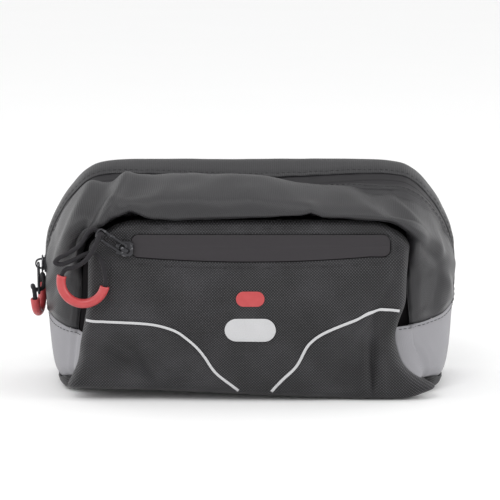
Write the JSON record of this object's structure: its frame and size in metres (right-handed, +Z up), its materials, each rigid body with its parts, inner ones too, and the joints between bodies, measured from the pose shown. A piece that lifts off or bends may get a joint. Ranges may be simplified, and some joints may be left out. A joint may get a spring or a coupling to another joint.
{
  "type": "bicycle handlebar bag",
  "caption": "Soft grey handlebar bag with a zipped compartment, a zipped front pocket with reflective stripes, light corner panels, cord zip pulls and rear straps.",
  "frame": {"origin": "middle of the flat base, on the surface it stands on", "axes": "+X to the right seen from the front, -Y to the front with the pocket, +Z up"},
  "size_m": [0.2336, 0.1287, 0.1193],
  "materials": {
    "coated_fabric": "coated woven polyester, dull sheen",
    "ripstop": "coarse weave, matt",
    "corner_fabric": "light grey woven, matt",
    "zip_film": "coated zip tape, dull sheen",
    "black_webbing": "hook-and-loop strap, matt",
    "reflective": "reflective film, satin",
    "red_rubber": "smooth, satin",
    "cord": "braided cord, matt",
    "dark_metal": "dark plated, satin"
  },
  "bodies": {
    "root": {"base_panel": "ripstop", "back_panel": "coated_fabric", "rear_gusset": "coated_fabric", "main_zip": "zip_film", "front_shell": "coated_fabric", "corner_patch_left": "corner_fabric", "corner_patch_right": "corner_fabric", "pocket_divider": "coated_fabric", "pocket_gusset": "coated_fabric", "pocket_panel": "ripstop", "pocket_zip": "zip_film", "reflective_stripe_left": "reflective", "reflective_stripe_right": "reflective", "reflective_bar": "reflective", "accent_bar": "red_rubber", "strap_left": "black_webbing", "strap_right": "black_webbing", "pocket_slider": "dark_metal", "pocket_pull_link": "dark_metal", "pocket_pull_cord": "cord", "pocket_pull_grip": "red_rubber", "main_slider": "dark_metal", "main_pull_link": "dark_metal", "main_pull_cord": "cord", "main_pull_grip": "red_rubber"}
  },
  "joints": []
}
